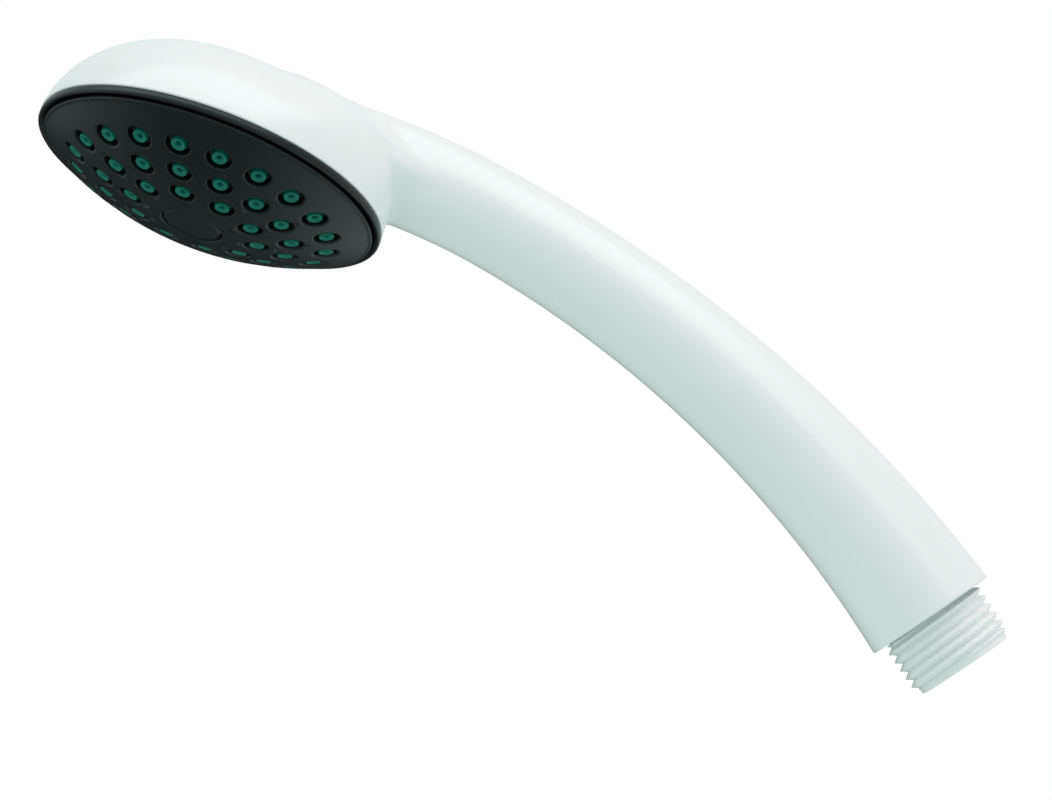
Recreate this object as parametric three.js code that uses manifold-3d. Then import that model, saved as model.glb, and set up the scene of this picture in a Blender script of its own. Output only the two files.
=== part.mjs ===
// Handheld shower head with a domed spray face, a bowed handle and a G 1/2 hose inlet.
//
// Millimetres. The origin is the centre of the inlet's end face, on the thread's axis. +Z runs
// from the inlet up the lower handle, -Y is the side that sprays, and x = 0 is the mirror plane.
// The head group has its own axes: its z leaves the spray face, and its -y points at the handle.

import * as THREE from "three";
import { mergeVertices } from "three/addons/utils/BufferGeometryUtils.js";
import Module from "manifold-3d";

const wasm = await Module();
wasm.setup();

// ---------------------------------------------------------------- driving dimensions

const THREAD_RADIUS = 20.955 / 2; // G 1/2 pipe thread
const THREAD_PITCH = 1.814;
const THREAD_ROOT_RADIUS = 9.3;
const THREAD_START = 0.51; // where the first crest crosses the +X side, in pitches
const THREAD_LEAD_IN = 0.9; // the plain part at the inlet's end
const INLET_LENGTH = 11.2; // from the inlet's end face to the handle's end

const HANDLE_END_RADIUS = 12.6;
const HANDLE_NECK_RADIUS = 9.2;
const HANDLE_BOW_RADIUS = 221.6; // the handle's axis is one arc
const FACE_ANGLE = THREE.MathUtils.degToRad(36); // between the rim's plane and the inlet's axis
const BOW_CENTRE_ALONG = 22.6; // the arc's centre, towards the handle from the head's axis
const BOW_CENTRE_AHEAD = 206.6; // and ahead of the rim's plane
const WALL = 2.4;

const RIM_RADIUS = 33.2;
const HEAD_DEPTH = 20.3;
const HEAD_LEAN = 0.05; // the head's back gets shallower by this share towards the handle
const NECK_START = 6; // where the handle's shape starts, behind the spray face
const NECK_END = 50; // and where it has become the plain round handle
const NECK_HALF_WIDTH = 17; // the flared section where it starts
const NECK_HALF_HEIGHT = 7.8;
const NECK_LIFT = 3.1; // how far its centre is ahead of the bow there

const FACE_RADIUS = 31.8;
const FACE_SPHERE = 62;
const FACE_APEX = 10.75;
const FACE_WALL = 2;
const FACE_HOLE_RADIUS = 2.2;
const FACE_SEAT = 1.25; // height of the rim flange's underside above the rim's plane

const NOZZLE_RINGS = [
  { count: 20, radius: 24.64, start: 0 },
  { count: 15, radius: 18.4, start: 12 },
  { count: 10, radius: 12.37, start: 0 },
];
const NOZZLE_BASE_RADIUS = 1.7;
const NOZZLE_TIP_RADIUS = 1.4;
const NOZZLE_SINK = 0.2; // how far the tips are below the face
const JET_RADIUS = 0.45;
const MAT_WALL = 1.5;

const CAP_RADIUS = 5.6;
const TUBE_RADIUS = 3.6;
const TUBE_BORE = 2.6;
const CARTRIDGE_RADIUS = 7.1; // what slides into the inlet's bore
const GAP = 0.3; // between pieces that meet

// ---------------------------------------------------------------- shaping helpers

function solid(geometry) {
  const bare = geometry.clone();
  bare.deleteAttribute("normal");
  bare.deleteAttribute("uv");
  const merged = mergeVertices(bare.index ? bare : mergeVertices(bare), 1e-5);
  const index = merged.index.array;
  const kept = [];
  for (let i = 0; i < index.length; i += 3) {
    const [a, b, c] = [index[i], index[i + 1], index[i + 2]];
    if (a !== b && b !== c && c !== a) kept.push(a, b, c);
  }
  return new wasm.Manifold(
    new wasm.Mesh({
      numProp: 3,
      vertProperties: new Float32Array(merged.attributes.position.array),
      triVerts: new Uint32Array(kept),
    }),
  );
}

function geometryOf(shape) {
  const mesh = shape.getMesh();
  const geometry = new THREE.BufferGeometry();
  geometry.setAttribute("position", new THREE.BufferAttribute(mesh.vertProperties, mesh.numProp));
  geometry.setIndex(new THREE.BufferAttribute(mesh.triVerts, 1));
  geometry.computeVertexNormals();
  return geometry;
}

// a profile of [radius, height] pairs, counter-clockwise, turned about the z axis
function turned(profile, segments = 24) {
  const points = profile.map(([radius, height]) => new THREE.Vector2(radius, height));
  return new THREE.LatheGeometry(points, segments).rotateX(Math.PI / 2);
}

function disc(radius, low, high, segments = 24) {
  return solid(turned([[0, low], [radius, low], [radius, high], [0, high]], segments));
}

function ring(inner, outer, low, high, segments = 24) {
  return solid(turned([[inner, low], [outer, low], [outer, high], [inner, high], [inner, low]], segments));
}

function oRing(radius, thickness, height, segments = 20) {
  return new THREE.TorusGeometry(radius, thickness / 2, 6, segments).translate(0, 0, height);
}

function joined(shapes) {
  return shapes.reduce((whole, shape) => whole.add(shape));
}

function piece(name, shape, look) {
  const geometry = shape.isBufferGeometry ? shape : geometryOf(shape);
  const mesh = new THREE.Mesh(geometry, new THREE.MeshStandardMaterial(look));
  mesh.name = name;
  return mesh;
}

const WHITE_ABS = { color: 0xf1f5f4, roughness: 0.28, metalness: 0 };
const BLACK_ABS = { color: 0x23282b, roughness: 0.36, metalness: 0 };
const TEAL_ELASTOMER = { color: 0x1f8f78, roughness: 0.55, metalness: 0 };
const GREY_POM = { color: 0x9fa6a6, roughness: 0.5, metalness: 0 };
const BLACK_RUBBER = { color: 0x141516, roughness: 0.7, metalness: 0 };
const STEEL = { color: 0xb9bcbf, roughness: 0.3, metalness: 1 };

// ---------------------------------------------------------------- frames

// the handle's axis in the head's plane: along = towards the handle, ahead = out of the face
function bowPoint(angle) {
  return {
    along: BOW_CENTRE_ALONG + HANDLE_BOW_RADIUS * Math.sin(angle),
    ahead: BOW_CENTRE_AHEAD - HANDLE_BOW_RADIUS * Math.cos(angle),
  };
}

const head = new THREE.Group();
head.rotation.x = Math.PI / 2 + FACE_ANGLE;
const handleEnd = bowPoint(FACE_ANGLE);
head.position
  .set(0, handleEnd.along, -handleEnd.ahead)
  .applyEuler(head.rotation)
  .add(new THREE.Vector3(0, 0, INLET_LENGTH));
head.updateMatrixWorld();

function fromHead(along, ahead) {
  return new THREE.Vector3(0, -along, ahead).applyMatrix4(head.matrixWorld);
}

const inlet = new THREE.Group();

// ---------------------------------------------------------------- body shell

// the head's back: a rounded bowl, fuller and steeper towards the handle
function headBowl(radius, depth, mouth, segments) {
  const steps = 7;
  const profile = [[0, -depth]];
  for (let i = 1; i < steps; i += 1) profile.push([i / steps, -depth]);
  profile.push([radius, 0], [radius, mouth], [0, mouth]);
  const bowl = turned(profile, segments);
  const position = bowl.attributes.position;
  for (let i = 0; i < position.count; i += 1) {
    const out = Math.hypot(position.getX(i), position.getY(i));
    const centreOrMouth = out < 0.01 || position.getZ(i) > -depth / 2;
    if (centreOrMouth) continue;
    const towards = -position.getY(i) / out;
    const full = THREE.MathUtils.smoothstep(towards, 0.2, 0.95);
    const turn = (1 - out) * (Math.PI / 2);
    const reach = radius * Math.cos(turn) ** (2 / (2.4 + 2.2 * full));
    const drop = depth * Math.sin(turn) ** (2 / (1.8 + 0.8 * full));
    const lean = 1 - (HEAD_LEAN * reach * towards) / RIM_RADIUS;
    position.setXYZ(i, (position.getX(i) / out) * reach, -towards * reach, -drop * lean);
  }
  return solid(bowl);
}

// sizes of the handle's section at a distance along the head's plane: it flares just at the head
function handleSection(along, wall) {
  const run = THREE.MathUtils.clamp((along - 37) / (handleEnd.along - 37), 0, 1);
  const round = HANDLE_NECK_RADIUS + (HANDLE_END_RADIUS - HANDLE_NECK_RADIUS) * run * (0.03 + 0.97 * run);
  const neck = THREE.MathUtils.clamp((NECK_END - along) / (NECK_END - NECK_START), 0, 1);
  return {
    halfWidth: round + (NECK_HALF_WIDTH - round) * neck ** 4 - wall,
    halfHeight: round + (NECK_HALF_HEIGHT - round) * neck ** 3 - wall,
    square: 3 * neck, // how much squarer than an ellipse the section's back is
    lift: NECK_LIFT * neck ** 1.5,
  };
}

// the handle as rings of an ellipse carried along the bow, closed at both ends
function handleSolid(wall, startAlong, endAngle, rings, segments) {
  const startAngle = Math.asin((startAlong - BOW_CENTRE_ALONG) / HANDLE_BOW_RADIUS);
  const points = [];
  const centres = [];
  for (let i = 0; i <= rings; i += 1) {
    const angle = THREE.MathUtils.lerp(startAngle, endAngle, i / rings);
    const { along, ahead } = bowPoint(angle);
    const { halfWidth, halfHeight, square, lift } = handleSection(along, wall);
    centres.push([0, -along, ahead + lift]);
    for (let j = 0; j < segments; j += 1) {
      const turn = (j / segments) * 2 * Math.PI;
      const rise = halfHeight * Math.sin(turn);
      const power = rise < 0 ? 2 + square : 2;
      const across = Math.cos(turn);
      const side = halfWidth * Math.sign(across) * Math.abs(across) ** (2 / power);
      points.push([side, -along + rise * Math.sin(angle), ahead + lift + rise * Math.cos(angle)]);
    }
  }
  const first = points.length;
  points.push(centres[0], centres[rings]);
  const index = [];
  for (let j = 0; j < segments; j += 1) {
    const next = (j + 1) % segments;
    for (let i = 0; i < rings; i += 1) {
      const [a, b] = [i * segments + j, i * segments + next];
      index.push(a, b, b + segments, a, b + segments, a + segments);
    }
    index.push(first, next, j);
    index.push(first + 1, rings * segments + j, rings * segments + next);
  }
  const geometry = new THREE.BufferGeometry();
  geometry.setAttribute("position", new THREE.Float32BufferAttribute(points.flat(), 3));
  geometry.setIndex(index);
  return solid(geometry);
}

// a cylinder along the inlet's axis, carried into the head group's axes
function inletDisc(radius, low, high, segments) {
  const cylinder = turned([[0, low], [radius, low], [radius, high], [0, high]], segments);
  return solid(cylinder.applyMatrix4(head.matrixWorld.clone().invert()));
}

const BODY_INNER_RADIUS = RIM_RADIUS - 2.2;
const CHAMBER_SEAT_RADIUS = 30.1;
const CHAMBER_SEAT_DEPTH = 7.5;
const SPIGOT_TOP = 27;
const SPIGOT_RADIUS = 9.8;
const SPIGOT_GROOVE = { radius: 8.5, low: 17.8, high: 20 }; // for the nipple's O-ring
const SPIGOT_SOCKET_RADIUS = 10.1;
const MOUTH_RADIUS = 10.85; // the open groove round the thread at the handle's end
const MOUTH_DEPTH = 1.6;

function bodyShell() {
  const past = FACE_ANGLE + 0.02;
  const outside = headBowl(RIM_RADIUS - 0.1, HEAD_DEPTH, 0, 44)
    .add(handleSolid(0, NECK_START, FACE_ANGLE, 16, 24));
  const inside = headBowl(BODY_INNER_RADIUS, HEAD_DEPTH - WALL, 1, 32)
    .add(handleSolid(WALL, NECK_START + WALL, past, 11, 14))
    .add(disc(BODY_INNER_RADIUS, -5.2, 1, 32))
    .add(disc(CHAMBER_SEAT_RADIUS, -CHAMBER_SEAT_DEPTH, 0, 32))
    .add(inletDisc(MOUTH_RADIUS, INLET_LENGTH - 1, INLET_LENGTH + MOUTH_DEPTH, 24))
    .add(inletDisc(SPIGOT_SOCKET_RADIUS, INLET_LENGTH - 1, SPIGOT_TOP + 2, 24));
  return outside.subtract(inside);
}

head.add(piece("body_shell", bodyShell(), WHITE_ABS));

// ---------------------------------------------------------------- spray face

function sphereHeight(sphere, radius) {
  return FACE_APEX - FACE_SPHERE + Math.sqrt(sphere * sphere - radius * radius);
}

function sphereArc(sphere, from, to, steps) {
  const arc = [];
  for (let i = 0; i <= steps; i += 1) {
    const radius = THREE.MathUtils.lerp(from, to, i / steps);
    arc.push([radius, sphereHeight(sphere, radius)]);
  }
  return arc;
}

// frames standing on the face, one at each nozzle, with z square to the face
const nozzleFrames = NOZZLE_RINGS.flatMap(({ count, radius, start }) =>
  Array.from({ length: count }, (_, i) => {
    const angle = THREE.MathUtils.degToRad(start + (360 * i) / count) - Math.PI / 2;
    const foot = new THREE.Vector3(radius * Math.cos(angle), radius * Math.sin(angle), 0);
    foot.z = sphereHeight(FACE_SPHERE, radius);
    const outward = foot.clone().setZ(foot.z - FACE_APEX + FACE_SPHERE).normalize();
    const turn = new THREE.Quaternion().setFromUnitVectors(new THREE.Vector3(0, 0, 1), outward);
    return new THREE.Matrix4().compose(foot, turn, new THREE.Vector3(1, 1, 1));
  }),
);

// one turned shape at every nozzle, from a profile whose heights are above the face
function atNozzles(profile, segments) {
  return joined(nozzleFrames.map((place) => solid(turned(profile, segments).applyMatrix4(place))));
}

const HUB_RADIUS = 6.6;
const HUB_FOOT = 4.4;
const CAP_SEAT = 9;
const SCREW_SEAT = 6.6;
const SCREW_WELL_RADIUS = 3.9;
const SCREW_HOLE_RADIUS = 1.6;
const SKIRT_INNER = 28.6;
const SKIRT_OUTER = 29.6;
const SKIRT_FOOT = -3.4;

function facePlate() {
  const inner = FACE_SPHERE - FACE_WALL;
  const dome = solid(
    turned(
      [
        ...sphereArc(inner, 0, SKIRT_INNER, 4),
        [SKIRT_INNER, SKIRT_FOOT],
        [SKIRT_OUTER, SKIRT_FOOT],
        [SKIRT_OUTER, FACE_SEAT],
        [FACE_RADIUS, FACE_SEAT],
        ...sphereArc(FACE_SPHERE, FACE_RADIUS, 0, 5),
      ],
      36,
    ),
  );
  const under = -FACE_WALL - 1;
  const hole = [[0, under], [FACE_HOLE_RADIUS, under], [FACE_HOLE_RADIUS, 1], [0, 1]];
  return dome
    .subtract(atNozzles(hole, 8))
    .add(disc(HUB_RADIUS, HUB_FOOT, CAP_SEAT + 0.4, 24))
    .subtract(disc(CAP_RADIUS + GAP, CAP_SEAT, FACE_APEX + 1, 24))
    .subtract(disc(SCREW_WELL_RADIUS, SCREW_SEAT, CAP_SEAT + 1, 20))
    .subtract(disc(SCREW_HOLE_RADIUS, HUB_FOOT - 1, SCREW_SEAT + 1, 12));
}

function bezelRing() {
  const lip = 32.3;
  return solid(
    turned(
      [
        [30, -4.5],
        [30.7, -4.5],
        [30.7, 0.25],
        [RIM_RADIUS, 0.25],
        [RIM_RADIUS, 1.1],
        [RIM_RADIUS - 0.3, 1.5],
        [lip, 1.5],
        [lip, 0.95],
        [30, 0.95],
        [30, -4.5],
      ],
      44,
    ),
  );
}

function nozzleMat() {
  const outer = FACE_SPHERE - FACE_WALL - GAP;
  const inner = outer - MAT_WALL;
  const edge = SKIRT_INNER - 0.8;
  const hole = HUB_RADIUS + 0.4;
  const web = solid(
    turned(
      [...sphereArc(inner, hole, edge, 2), ...sphereArc(outer, edge, hole, 3), [hole, sphereHeight(inner, hole)]],
      32,
    ),
  );
  const root = -FACE_WALL - GAP - 0.7;
  const tip = -NOZZLE_SINK;
  const nozzle = [[0, root], [NOZZLE_BASE_RADIUS, root], [NOZZLE_TIP_RADIUS, tip], [0, tip]];
  const jet = [[0, root - MAT_WALL], [JET_RADIUS, root - MAT_WALL], [JET_RADIUS, 1], [0, 1]];
  return web.add(atNozzles(nozzle, 7)).subtract(atNozzles(jet, 5));
}

head.add(piece("face_plate", facePlate(), BLACK_ABS));
head.add(piece("bezel_ring", bezelRing(), BLACK_ABS));
head.add(piece("nozzle_mat", nozzleMat(), TEAL_ELASTOMER));

// ---------------------------------------------------------------- centre fixing

// a snap-in cap just below the face, with a notch to lever it out by
function centreCap() {
  const underside = CAP_SEAT + GAP;
  const outside = sphereArc(FACE_SPHERE - GAP, CAP_RADIUS, 0, 3);
  const cap = solid(turned([[0, underside], [CAP_RADIUS, underside], ...outside], 24));
  const notch = new THREE.BoxGeometry(2, 1.2, 1.4).translate(0, -CAP_RADIUS, FACE_APEX - GAP);
  return cap.subtract(solid(notch));
}

const SCREW_RADIUS = 1.2;
const SCREW_FOOT = -1;
const SCREW_HEAD_RADIUS = 3.3;
const SCREW_HEAD_HEIGHT = 1.3;

function centreScrew() {
  const seat = SCREW_SEAT + 1;
  const top = seat + SCREW_HEAD_HEIGHT;
  const screw = disc(SCREW_RADIUS, SCREW_FOOT, seat + 0.2, 12).add(disc(SCREW_HEAD_RADIUS, seat, top, 18));
  const slots = [0, Math.PI / 2].map((turn) => new THREE.BoxGeometry(3.6, 0.7, 1).rotateZ(turn));
  return slots.reduce((left, slot) => left.subtract(solid(slot.translate(0, 0, top))), screw);
}

head.add(piece("centre_cap", centreCap(), BLACK_ABS));
head.add(piece("centre_screw", centreScrew(), STEEL));
head.add(piece("centre_screw_washer", ring(1.5, 3.5, SCREW_SEAT + 0.2, SCREW_SEAT + 0.8, 20), STEEL));

// ---------------------------------------------------------------- water chamber

const CHAMBER_FLOOR = -2.4;
const CHAMBER_BACK = -7;
const DUCT_AHEAD = -11.9;
const DUCT_MOUTH = 24;
const DUCT_PORT = 12.5; // where the duct opens into the chamber, from the head's axis
const PLUG_RADIUS = SKIRT_INNER - 0.7;
const POST_RADIUS = 3.6; // the post takes the centre screw

// a cylinder lying along the head's plane, from one distance to another
function duct(radius, from, to, segments) {
  const lying = turned([[0, from], [radius, from], [radius, to], [0, to]], segments);
  return solid(lying.rotateX(Math.PI / 2).translate(0, 0, DUCT_AHEAD));
}

function chamberPlate() {
  const plate = solid(
    turned(
      [
        [0, CHAMBER_BACK],
        [SKIRT_OUTER, CHAMBER_BACK],
        [SKIRT_OUTER, -5.2],
        [PLUG_RADIUS, -5.2],
        [PLUG_RADIUS, CHAMBER_FLOOR],
        [POST_RADIUS, CHAMBER_FLOOR],
        [POST_RADIUS, HUB_FOOT - GAP],
        [0, HUB_FOOT - GAP],
      ],
      32,
    ),
  );
  const port = disc(3.2, DUCT_AHEAD, 0, 16).translate([0, -DUCT_PORT, 0]);
  return plate
    .add(duct(5.2, 7, DUCT_MOUTH, 24))
    .add(duct(6.5, 19.5, DUCT_MOUTH, 24))
    .subtract(duct(TUBE_RADIUS + GAP, 9.5, DUCT_MOUTH + 1, 20))
    .subtract(duct(5.4, 21.5, DUCT_MOUTH + 1, 20))
    .subtract(port)
    .subtract(disc(1.5, -1.6, HUB_FOOT, 12));
}

function waterwayTube() {
  const route = [new THREE.Vector3(0, 0, 20.4), new THREE.Vector3(0, 0, 24.5), new THREE.Vector3(0, -0.05, 28.5)];
  for (const degrees of [29, 24, 19, 14]) {
    const { along, ahead } = bowPoint(THREE.MathUtils.degToRad(degrees));
    route.push(fromHead(along, ahead));
  }
  route.push(fromHead(46, DUCT_AHEAD - 0.35));
  for (const along of [34, 24, 13]) route.push(fromHead(along, DUCT_AHEAD));
  const section = new THREE.Shape().absarc(0, 0, TUBE_RADIUS, 0, 2 * Math.PI, false);
  section.holes.push(new THREE.Path().absarc(0, 0, TUBE_BORE, 0, 2 * Math.PI, true));
  return new THREE.ExtrudeGeometry(section, {
    steps: 18,
    curveSegments: 5,
    bevelEnabled: false,
    extrudePath: new THREE.CatmullRomCurve3(route),
  });
}

head.add(piece("chamber_plate", chamberPlate(), WHITE_ABS));
const chamberSealRadius = (PLUG_RADIUS + SKIRT_OUTER) / 2 + 0.1;
head.add(piece("chamber_o_ring", oRing(chamberSealRadius, 1.3, -4.3, 36), BLACK_RUBBER));
const tubeSeal = oRing(4.6, 1.3, 0, 20).rotateX(Math.PI / 2).translate(0, -22.9, DUCT_AHEAD);
head.add(piece("tube_o_ring_head", tubeSeal, BLACK_RUBBER));
inlet.add(piece("waterway_tube", solid(waterwayTube()), GREY_POM));
inlet.add(piece("tube_o_ring_inlet", oRing(4.6, 1.3, 25.7, 20), BLACK_RUBBER));

// ---------------------------------------------------------------- hose inlet

// a right-hand screw: rows climb along the axis, and every column climbs one pitch per turn
function screwSolid(segments, height) {
  const profile = [THREAD_ROOT_RADIUS, THREAD_ROOT_RADIUS, THREAD_RADIUS, THREAD_RADIUS];
  const shares = [0.43, 0.57, 0.86, 1.14]; // of a pitch, so that the crest's middle is at 1
  const perTurn = profile.length;
  const rows = perTurn * (Math.ceil(height / THREAD_PITCH) + 3);
  const points = [];
  for (let i = 0; i <= rows; i += 1) {
    for (let j = 0; j < segments; j += 1) {
      const turn = (j / segments) * 2 * Math.PI;
      const climb = Math.floor(i / perTurn) + shares[i % perTurn] + j / segments + THREAD_START - 3;
      const radius = profile[i % perTurn];
      points.push(radius * Math.cos(turn), radius * Math.sin(turn), climb * THREAD_PITCH);
    }
  }
  const at = (i, j) => (j < segments ? i * segments + j : (i + perTurn) * segments);
  const index = [];
  for (let i = 0; i < rows; i += 1) {
    for (let j = 0; j < segments; j += 1) {
      if (j === segments - 1 && i + perTurn >= rows) continue;
      index.push(at(i, j), at(i, j + 1), at(i + 1, j + 1), at(i, j), at(i + 1, j + 1), at(i + 1, j));
    }
  }
  const foot = points.length / 3;
  points.push(0, 0, -3 * THREAD_PITCH, 0, 0, (rows / perTurn) * THREAD_PITCH);
  const low = [];
  for (let j = 0; j < segments; j += 1) low.push(at(0, j));
  for (let i = perTurn; i > 0; i -= 1) low.push(at(i, 0));
  const high = [];
  for (let j = 0; j < segments; j += 1) high.push(at(rows, j));
  for (let i = 1; i <= perTurn; i += 1) high.push(at(rows - i, segments - 1));
  low.forEach((vertex, k) => index.push(foot, low[(k + 1) % low.length], vertex));
  high.forEach((vertex, k) => index.push(foot + 1, vertex, high[(k + 1) % high.length]));
  const geometry = new THREE.BufferGeometry();
  geometry.setAttribute("position", new THREE.Float32BufferAttribute(points, 3));
  geometry.setIndex(index);
  return solid(geometry);
}

const BORE_DEPTH = 18.8; // the cartridges slide in this far
const TUBE_SOCKET_LOW = 20;
const TUBE_SEAL_SEAT = { radius: 5.4, low: 24.7 };

function inletNipple() {
  const threadEnd = INLET_LENGTH - GAP;
  const past = THREAD_RADIUS + 0.4; // clear of the crests, so that no sliver is left on them
  const envelope = solid(
    turned(
      [
        [0, 0],
        [THREAD_ROOT_RADIUS - 0.1, 0],
        [THREAD_ROOT_RADIUS + 0.05, THREAD_LEAD_IN],
        [past, THREAD_LEAD_IN + past - THREAD_ROOT_RADIUS],
        [past, threadEnd],
        [0, threadEnd],
      ],
      24,
    ),
  );
  const spigot = solid(
    turned(
      [
        [0, threadEnd - 1],
        [THREAD_ROOT_RADIUS, threadEnd - 1],
        [THREAD_ROOT_RADIUS, INLET_LENGTH + 0.8],
        [SPIGOT_RADIUS, INLET_LENGTH + 1.3],
        [SPIGOT_RADIUS, SPIGOT_GROOVE.low],
        [SPIGOT_GROOVE.radius, SPIGOT_GROOVE.low],
        [SPIGOT_GROOVE.radius, SPIGOT_GROOVE.high],
        [SPIGOT_RADIUS, SPIGOT_GROOVE.high],
        [SPIGOT_RADIUS, SPIGOT_TOP],
        [0, SPIGOT_TOP],
      ],
      24,
    ),
  );
  return screwSolid(22, threadEnd)
    .intersect(envelope)
    .add(spigot)
    .subtract(disc(CARTRIDGE_RADIUS + GAP, -1, BORE_DEPTH, 28))
    .subtract(disc(TUBE_BORE, BORE_DEPTH - 1, TUBE_SOCKET_LOW + 1, 16))
    .subtract(disc(TUBE_RADIUS + GAP, TUBE_SOCKET_LOW, SPIGOT_TOP, 20))
    .subtract(disc(TUBE_SEAL_SEAT.radius, TUBE_SEAL_SEAT.low, SPIGOT_TOP + 1, 20));
}

inlet.add(piece("inlet_nipple", inletNipple(), WHITE_ABS));
inlet.add(piece("nipple_o_ring", oRing(9.25, 1.4, 18.9, 24), BLACK_RUBBER));

// ---------------------------------------------------------------- what sits in the inlet's bore

function inletFilter() {
  const holes = [];
  for (const [count, radius] of [[1, 0], [6, 2.4], [10, 5]]) {
    for (let i = 0; i < count; i += 1) {
      const turn = (i / count) * 2 * Math.PI;
      const place = [radius * Math.cos(turn), radius * Math.sin(turn), 0];
      holes.push(disc(0.85, 0, 3, 6).translate(place));
    }
  }
  return disc(CARTRIDGE_RADIUS, 0.8, 1.7, 24).subtract(joined(holes));
}

function regulatorBody() {
  return solid(
    turned(
      [[1.6, 4.8], [5.6, 4.8], [5.6, 2.2], [CARTRIDGE_RADIUS, 2.2], [CARTRIDGE_RADIUS, 6], [1.6, 6], [1.6, 4.8]],
      24,
    ),
  );
}

inlet.add(piece("inlet_filter", inletFilter(), STEEL));
inlet.add(piece("flow_regulator_body", regulatorBody(), GREY_POM));
inlet.add(piece("flow_regulator_o_ring", oRing(3.4, 1.4, 3.9, 20), BLACK_RUBBER));

// ---------------------------------------------------------------- check valve

const SEAT_TOP = 8;
const POPPET_TOP = 10;
const GUIDE_FOOT = 15;
const STEM_RADIUS = 1;

function valveHousing() {
  return solid(
    turned(
      [
        [3.8, 6.4],
        [CARTRIDGE_RADIUS, 6.4],
        [CARTRIDGE_RADIUS, 17],
        [5.9, 17],
        [5.9, SEAT_TOP],
        [3.8, SEAT_TOP],
        [3.8, 6.4],
      ],
      24,
    ),
  );
}

function valveGuide() {
  const ports = [0, 1, 2, 3, 4, 5].map((i) => {
    const turn = (i / 6) * 2 * Math.PI;
    return disc(1.2, GUIDE_FOOT - 1, 18, 8).translate([3.6 * Math.cos(turn), 3.6 * Math.sin(turn), 0]);
  });
  return ring(STEM_RADIUS + 0.35, 5.6, GUIDE_FOOT, GUIDE_FOOT + 1.6, 24).subtract(joined(ports));
}

function valvePoppet() {
  return turned(
    [
      [0, 7.2],
      [2.4, 7.2],
      [3.2, 8],
      [3.2, 9],
      [5, 9],
      [5, POPPET_TOP],
      [STEM_RADIUS, POPPET_TOP],
      [STEM_RADIUS, 17.6],
      [0, 17.6],
    ],
    16,
  );
}

class Helix extends THREE.Curve {
  constructor(radius, low, high, turns) {
    super();
    Object.assign(this, { radius, low, high, turns });
  }

  getPoint(t, target = new THREE.Vector3()) {
    const turn = t * this.turns * 2 * Math.PI;
    const height = THREE.MathUtils.lerp(this.low, this.high, t);
    return target.set(this.radius * Math.cos(turn), this.radius * Math.sin(turn), height);
  }
}

function valveSpring() {
  const wire = 0.3;
  const section = new THREE.Shape().absarc(0, 0, wire, 0, 2 * Math.PI, false);
  const low = POPPET_TOP + wire + 0.15;
  const high = GUIDE_FOOT - wire - 0.15;
  return new THREE.ExtrudeGeometry(section, {
    steps: 35,
    curveSegments: 3,
    bevelEnabled: false,
    extrudePath: new Helix(2.4, low, high, 3.5),
  });
}

inlet.add(piece("check_valve_housing", valveHousing(), GREY_POM));
inlet.add(piece("check_valve_guide", valveGuide(), GREY_POM));
inlet.add(piece("check_valve_poppet", solid(valvePoppet()), GREY_POM));
inlet.add(piece("check_valve_seal", oRing(4.1, 0.8, 8.52, 24), BLACK_RUBBER));
inlet.add(piece("check_valve_spring", solid(valveSpring()), STEEL));

// ---------------------------------------------------------------- the whole handset

const handset = new THREE.Group();
handset.add(head, inlet);

export default handset;
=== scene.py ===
import math

import bmesh
import bpy
import numpy as np
from mathutils import Matrix, Quaternion, Vector


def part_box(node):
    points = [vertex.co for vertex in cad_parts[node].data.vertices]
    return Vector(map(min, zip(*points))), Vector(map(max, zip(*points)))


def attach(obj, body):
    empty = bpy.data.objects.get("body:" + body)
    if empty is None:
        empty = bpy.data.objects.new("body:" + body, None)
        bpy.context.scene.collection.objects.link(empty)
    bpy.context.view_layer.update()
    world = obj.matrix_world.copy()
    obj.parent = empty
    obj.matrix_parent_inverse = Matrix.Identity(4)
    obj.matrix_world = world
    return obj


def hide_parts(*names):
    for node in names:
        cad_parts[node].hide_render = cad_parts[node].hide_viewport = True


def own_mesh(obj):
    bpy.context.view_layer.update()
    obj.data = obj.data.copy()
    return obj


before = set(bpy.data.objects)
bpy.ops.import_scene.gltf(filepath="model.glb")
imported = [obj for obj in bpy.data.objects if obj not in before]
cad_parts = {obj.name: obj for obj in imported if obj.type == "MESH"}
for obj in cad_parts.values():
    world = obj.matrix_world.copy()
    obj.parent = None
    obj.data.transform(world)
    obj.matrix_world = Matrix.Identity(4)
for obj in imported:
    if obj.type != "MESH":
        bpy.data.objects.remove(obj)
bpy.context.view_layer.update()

# ---------------------------------------------------------------- camera
# A long lens looks at the handset from its +X side, a little below it, and is rolled so that
# the handle runs down to the right and the spray face turns towards the lower left.

VIEW_AZIMUTH = math.radians(71.05)
VIEW_ELEVATION = math.radians(-5.75)
VIEW_ROLL = math.radians(-34.23)
VIEW_DISTANCE = 0.64
LENS = 122.2
SENSOR_WIDTH = 36
LOOKED_AT = Vector((0.0139, -0.0465, 0.0838))

back = Vector(
    (
        math.sin(VIEW_AZIMUTH) * math.cos(VIEW_ELEVATION),
        -math.cos(VIEW_AZIMUTH) * math.cos(VIEW_ELEVATION),
        math.sin(VIEW_ELEVATION),
    )
)
view_turn = (-back).to_track_quat("-Z", "Y") @ Quaternion((0, 0, 1), VIEW_ROLL)
view_right = view_turn @ Vector((1, 0, 0))
view_up = view_turn @ Vector((0, 1, 0))

camera = bpy.data.objects.new("camera", bpy.data.cameras.new("camera"))
camera.data.lens = LENS
camera.data.sensor_width = SENSOR_WIDTH
camera.rotation_mode = "QUATERNION"
camera.rotation_quaternion = view_turn
camera.location = LOOKED_AT + back * VIEW_DISTANCE
bpy.context.scene.collection.objects.link(camera)
bpy.context.scene.camera = camera

# ---------------------------------------------------------------- stage and light
# A plain white floor lies well below the handset, and the studio behind it is white. A wide
# softbox hangs over the handle's back, and two weak ones fill the head's side and the right.

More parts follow.
